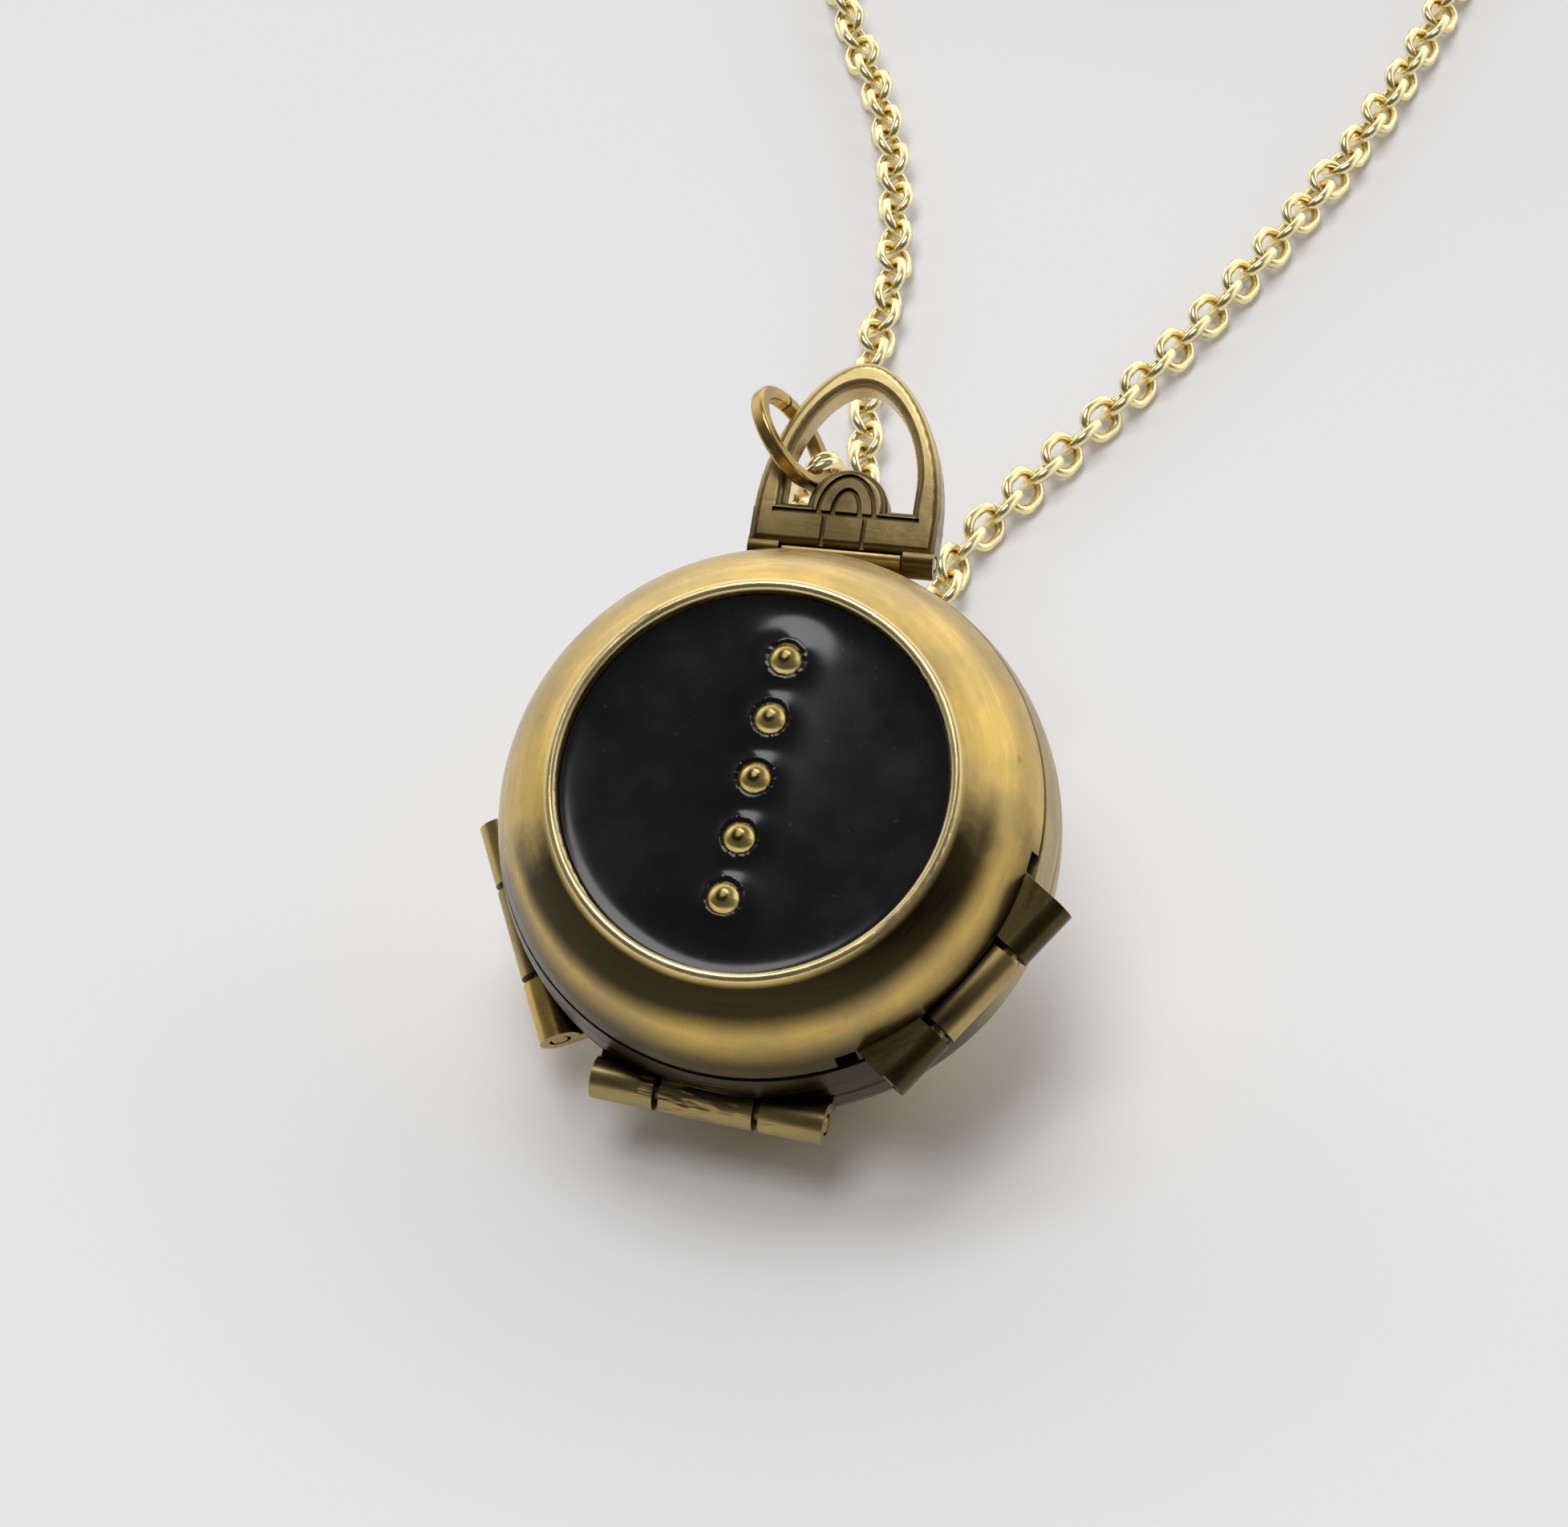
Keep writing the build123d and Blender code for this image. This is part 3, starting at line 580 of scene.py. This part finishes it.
def knuckle_gouges(t, u, v, w):
    """Deep scratches on the middle knuckle of the bottom hinge."""
    where = t.vector(t.times(u, GOUGE_SHRINK), v, w)
    gouges = t.noise(where, GOUGE_SCALE, detail=2.0, rough=0.7)
    low = t.below(v, SCRATCHED_V - SCRATCHED_EDGE, SCRATCHED_V)
    middle = t.below(t.math("ABSOLUTE", u), SCRATCHED_U - SCRATCHED_EDGE, SCRATCHED_U)
    return t.times(t.span(gouges, *GOUGE_SPAN), t.times(low, middle))


def antique_brass(name, light=GOLD, worn=KHAKI, grain="turned", rough=0.30, dark=1.0,
                  scratch=0.0, painted_band=0.0, rim_shade=0.0, rubbed=None, painted_crown=False):
    """Brushed brass, blotched with age, and black in its hollows and where parts meet: patina, and painted shade.
    """
    t = Tree(name)
    place = t.place()
    u, v, w, r = t.locket_coordinates(place)
    if grain == "turned":
        streak_place = t.vector(r, w, t.times(t.math("ARCTAN2", u, v), TURNED_RADIAN))
    elif grain == "across":
        streak_place = t.vector(t.times(u, ACROSS_SHRINK[0]), v, t.times(w, ACROSS_SHRINK[1]))
    else:
        streak_place = place
    streaks = t.noise(streak_place, STREAK_SCALE, detail=4.0, rough=0.65)
    blotches = t.noise(place, BLOTCH_SCALE, detail=4.0, rough=0.6)
    specks = t.noise(place, SPECK_SCALE, rough=0.6)
    colour = t.mix(t.span(blotches, *BLOTCH_SPAN), worn, light)
    colour = t.mix(t.span(streaks, *STREAK_SPAN, 0.0, STREAK_SHARE), colour, worn)
    colour = t.mix(t.span(specks, *SPECK_SPAN, 0.0, SPECK_SHARE), colour, PATINA_AND_SHADE)
    # Painted dark reflection in a band outside the lip, and painted shade on the lower edge.
    if painted_band:
        colour = t.mix(t.times(painted_dark_band(t, u, v, w, r, blotches), painted_band), colour, SHADE_OLIVE)
        # The polished lip, painted brighter as a highlight.
        colour = t.mix(t.times(t.below(r, *LIP_R), t.span(w, *BAND_W)), colour, LIP_HIGHLIGHT)
    # Painted shade on the lower part of the leaves' rims.
    if rim_shade:
        inside = t.times(t.below(r, *RIM_R), t.below(v, *RIM_V))
        colour = t.mix(t.times(inside, rim_shade), colour, SHADE_OLIVE)
    # Painted dark reflection on the beads' tops.
    if painted_crown:
        colour = t.mix(t.span(w, *CROWN_W, 0.0, CROWN_SHARE), colour, SHADE_OLIVE)
    if rubbed:
        outwards = t.math("ABSOLUTE", t.math("SUBTRACT", u, RUBBED_U))
        height = t.plus(v, t.times(outwards, RUBBED_OUTWARDS))
        bare = t.span(t.ragged(height, blotches, RUBBED_RAGGED), *RUBBED_V)
        colour = t.mix(bare, colour, rubbed)
    # Painted shade with the patina: black where the ambient occlusion finds hollows and gaps between parts.
    hollow_patina_and_shade = t.times(t.below(t.openness(CAVITY), *CAVITY_SPAN), dark)
    colour = t.mix(hollow_patina_and_shade, colour, PATINA_AND_SHADE)
    polish = t.span(streaks, *NOISE_SPAN, rough + POLISH[0], rough + POLISH[1])
    polish = t.plus(polish, t.times(hollow_patina_and_shade, CAVITY_ROUGHER))
    normal = t.bump(specks, *SPECK_BUMP, t.bump(streaks, *STREAK_BUMP))
    if scratch:
        cut = knuckle_gouges(t, u, v, w)
        normal = t.bump(t.times(cut, -1.0), scratch, GOUGE_DEPTH, normal)
        colour = t.mix(t.times(cut, GOUGE_SHINE), colour, light)
    t.set(Base_Color=colour, Roughness=polish, Metallic=1.0, Normal=normal)
    return t.owner


# Plated chain and clasp.
DRAWN_SCALE = 1900.0                 # the drawn wire's grain
DRAWN_SPAN = (0.45, 0.75)
DRAWN_SHARE = 0.3
DRAWN_ROUGHER = 0.1
DRAWN_BUMP = (0.12, 0.02 * MM)
PLATED_CAVITY = 0.5 * MM
PLATED_CAVITY_SPAN = (0.25, 0.8)


def plated_gold(name, colour, deep, rough):
    """Bright plating, deeper along the drawn wire, and deeper in hollows and between links as painted shade."""
    t = Tree(name)
    drawn = t.noise(t.place(), DRAWN_SCALE, rough=0.6)
    # Painted shade: the deep tone where the ambient occlusion finds hollows and gaps between links.
    tone = t.mix(t.span(t.openness(PLATED_CAVITY), *PLATED_CAVITY_SPAN), deep, colour)
    tone = t.mix(t.span(drawn, *DRAWN_SPAN, 0.0, DRAWN_SHARE), tone, deep)
    polish = t.span(drawn, *NOISE_SPAN, rough, rough + DRAWN_ROUGHER)
    t.set(Base_Color=tone, Roughness=polish, Metallic=1.0, Normal=t.bump(drawn, *DRAWN_BUMP))
    return t.owner


# Enamel, window and card. Two colours or two roughnesses are the ends of a range.
ENAMEL_TONES = (rgb(0.0022, 0.0022, 0.0028), rgb(0.0045, 0.0045, 0.0058))
ENAMEL_ROUGH = (0.13, 0.2)
ENAMEL_IOR = 1.5
CLOUD_SCALE = 420.0
CLOUD_BUMP = (0.1, 0.04 * MM)
DUST_SCALE = 5200.0
DUST_SPAN = (0.68, 0.78)
DUST_ROUGHER = 0.12
FILM_TONES = (rgb(0.80, 0.80, 0.78), rgb(0.88, 0.88, 0.86))
FILM_ROUGH = (0.05, 0.16)
FILM_ALPHA = 0.14
FILM_IOR = 1.46
SMEAR_SCALE = 500.0
SMEAR_SPAN = (0.4, 0.7)
SMEAR_BUMP = (0.05, 0.02 * MM)
CARD_TONES = (rgb(0.66, 0.62, 0.53), rgb(0.74, 0.71, 0.63))
CARD_ROUGH = (0.7, 0.9)
CARD_TONE_SCALE = 240.0
CARD_TONE_SPAN = (0.35, 0.65)
FIBRE_SCALE = 2600.0
FIBRE_BUMP = (0.3, 0.02 * MM)


def black_enamel():
    """Glossy black, a little cloudy, with fine dust on it."""
    t = Tree("black_enamel")
    place = t.place()
    cloud = t.noise(place, CLOUD_SCALE)
    dust = t.span(t.noise(place, DUST_SCALE, detail=2.0), *DUST_SPAN, 0.0, DUST_ROUGHER)
    polish = t.plus(t.span(cloud, *NOISE_SPAN, *ENAMEL_ROUGH), dust)
    t.set(Base_Color=t.mix(t.span(cloud, *NOISE_SPAN), *ENAMEL_TONES), Roughness=polish)
    t.set(Normal=t.bump(cloud, *CLOUD_BUMP), IOR=ENAMEL_IOR)
    return t.owner


def clear_window():
    """Thin clear film over a card, a little smeared."""
    t = Tree("clear_window")
    smears = t.noise(t.place(), SMEAR_SCALE, rough=0.6)
    t.set(Base_Color=t.mix(smears, *FILM_TONES), Alpha=FILM_ALPHA, IOR=FILM_IOR)
    t.set(Roughness=t.span(smears, *SMEAR_SPAN, *FILM_ROUGH), Normal=t.bump(smears, *SMEAR_BUMP))
    return t.owner


def blank_card():
    """Cream card with a fine fibre."""
    t = Tree("blank_card")
    place = t.place()
    fibre = t.noise(place, FIBRE_SCALE, detail=4.0, rough=0.6)
    tone = t.span(t.noise(place, CARD_TONE_SCALE), *CARD_TONE_SPAN)
    t.set(Base_Color=t.mix(tone, *CARD_TONES), Roughness=t.span(fibre, *NOISE_SPAN, *CARD_ROUGH))
    t.set(Normal=t.bump(fibre, *FIBRE_BUMP))
    return t.owner


SHELL = antique_brass("antique_brass_turned", rough=0.27, painted_band=0.97)
LEAF = antique_brass(
    "antique_brass_leaf", light=KHAKI, worn=rgb(0.36, 0.27, 0.12), rough=0.34,
    scratch=0.8, rim_shade=0.9,
)
# The bail's near-black brown is patina and a painted dark reflection; its rubbed top is bare brass.
BAIL = antique_brass(
    "antique_brass_bail", light=rgb(0.15, 0.106, 0.042), worn=rgb(0.085, 0.06, 0.024),
    grain="across", rough=0.30, rubbed=rgb(0.60, 0.455, 0.20),
)
WIRE = antique_brass(
    "drawn_brass_wire", light=rgb(0.78, 0.52, 0.16), worn=rgb(0.44, 0.29, 0.09),
    grain="plain", rough=0.22, dark=0.6,
)
BEAD = antique_brass(
    "polished_brass_bead", light=rgb(0.88, 0.69, 0.25), worn=rgb(0.74, 0.56, 0.19),
    grain="plain", rough=0.2, dark=0.5, painted_crown=True,
)
PAN = antique_brass("pressed_brass", rough=0.34, dark=0.5)
CHAIN = plated_gold(
    "plated_chain", colour=rgb(1.0, 0.86, 0.48), deep=rgb(0.72, 0.52, 0.17), rough=0.2,
)
CLASP = plated_gold(
    "plated_clasp", colour=rgb(0.93, 0.76, 0.38), deep=rgb(0.50, 0.34, 0.10), rough=0.14,
)
ENAMEL_BLACK, GLASS, CARD = black_enamel(), clear_window(), blank_card()

BY_SLOT = {
    "back_shell": SHELL, "front_shell": SHELL, "tray": PAN, "leaf": LEAF, "hinge_pin": WIRE,
    "retaining_ring": PAN, "lug": LEAF, "bail_pin": WIRE, "bail": BAIL, "jump_ring": WIRE,
    "bead": BEAD, "chain": CHAIN, "clasp": CLASP, "enamel": ENAMEL_BLACK, "window": GLASS,
    "photo": CARD,
}


def paint(piece, material):
    piece.data.materials.clear()
    piece.data.materials.append(material)


for entry in frame["record"]["subparts"]:
    paint(frame["nodes"][entry["node"]], BY_SLOT[entry["material_slot"]])
for piece in CHAIN_PIECES:
    paint(piece, CHAIN)
for piece in PANES:
    paint(piece, GLASS)
paint(ENAMEL, ENAMEL_BLACK)

# ---------------------------------------------------------------- floor and light
FLOOR_HALF = 1.5
FLOOR_TONES = (rgb(0.79, 0.79, 0.80), rgb(0.81, 0.81, 0.815))
FLOOR_TONE_SCALE = 30.0
FLOOR_ROUGH = 0.75
ROOM_STRENGTH = 1.0
DIM = 0.16                           # the ceiling and the front of the room, against the pale walls
WALL_TOP = (0.5, 0.85)               # sines of the heights where the walls fade out
WALL_FRONT = (-0.45, 0.4)            # and of the angles to the back where they come in
BRIGHTER = (-0.05, 0.5, 0)           # how much brighter the room gets along X, Y and Z


def make_floor():
    corners = [Vector((x, y, 0)) * FLOOR_HALF for x, y in ((-1, -1), (1, -1), (1, 1), (-1, 1))]
    floor = mesh_object("floor", corners, [(0, 1, 2, 3)], smooth=False)
    t = Tree("pale_floor")
    tone = t.noise(t.place(), FLOOR_TONE_SCALE, detail=2.0)
    t.set(Base_Color=t.mix(tone, *FLOOR_TONES), Roughness=FLOOR_ROUGH)
    paint(floor, t.owner)


def make_world():
    """A room with pale walls at the back and sides, a dim front and a dim ceiling."""
    t = Tree("room", bpy.data.worlds, "Background")
    bpy.context.scene.world = t.owner
    way = t.node("ShaderNodeTexCoord").outputs["Generated"]
    up, back = t.dot(way, (0, 0, 1)), t.dot(way, (0, 1, 0))
    wall = t.times(t.below(up, *WALL_TOP), t.span(back, *WALL_FRONT))
    light = t.plus(t.times(wall, 1 - DIM), DIM)
    t.set(Color=t.times(light, t.plus(t.dot(way, BRIGHTER), 1.0)), Strength=ROOM_STRENGTH)


def soft_light(name, place, size, watts, mirrored=True):
    data = bpy.data.lights.new(name, "AREA")
    data.size, data.energy = size, watts
    light = bpy.data.objects.new(name, data)
    bpy.context.scene.collection.objects.link(light)
    light.location = place
    light.rotation_euler = (BALL - Vector(place)).to_track_quat("-Z", "Y").to_euler()
    light.visible_glossy = mirrored


make_floor()
make_world()
# The second lamp doesn't show in reflections, so it lights little but the floor.
soft_light("lamp", (-0.06, 0.02, 0.6), size=0.3, watts=1.2)
soft_light("floor_lamp", (-0.03, -0.26, 0.53), size=0.2, watts=1.1, mirrored=False)
bpy.context.scene.view_settings.view_transform = "Standard"
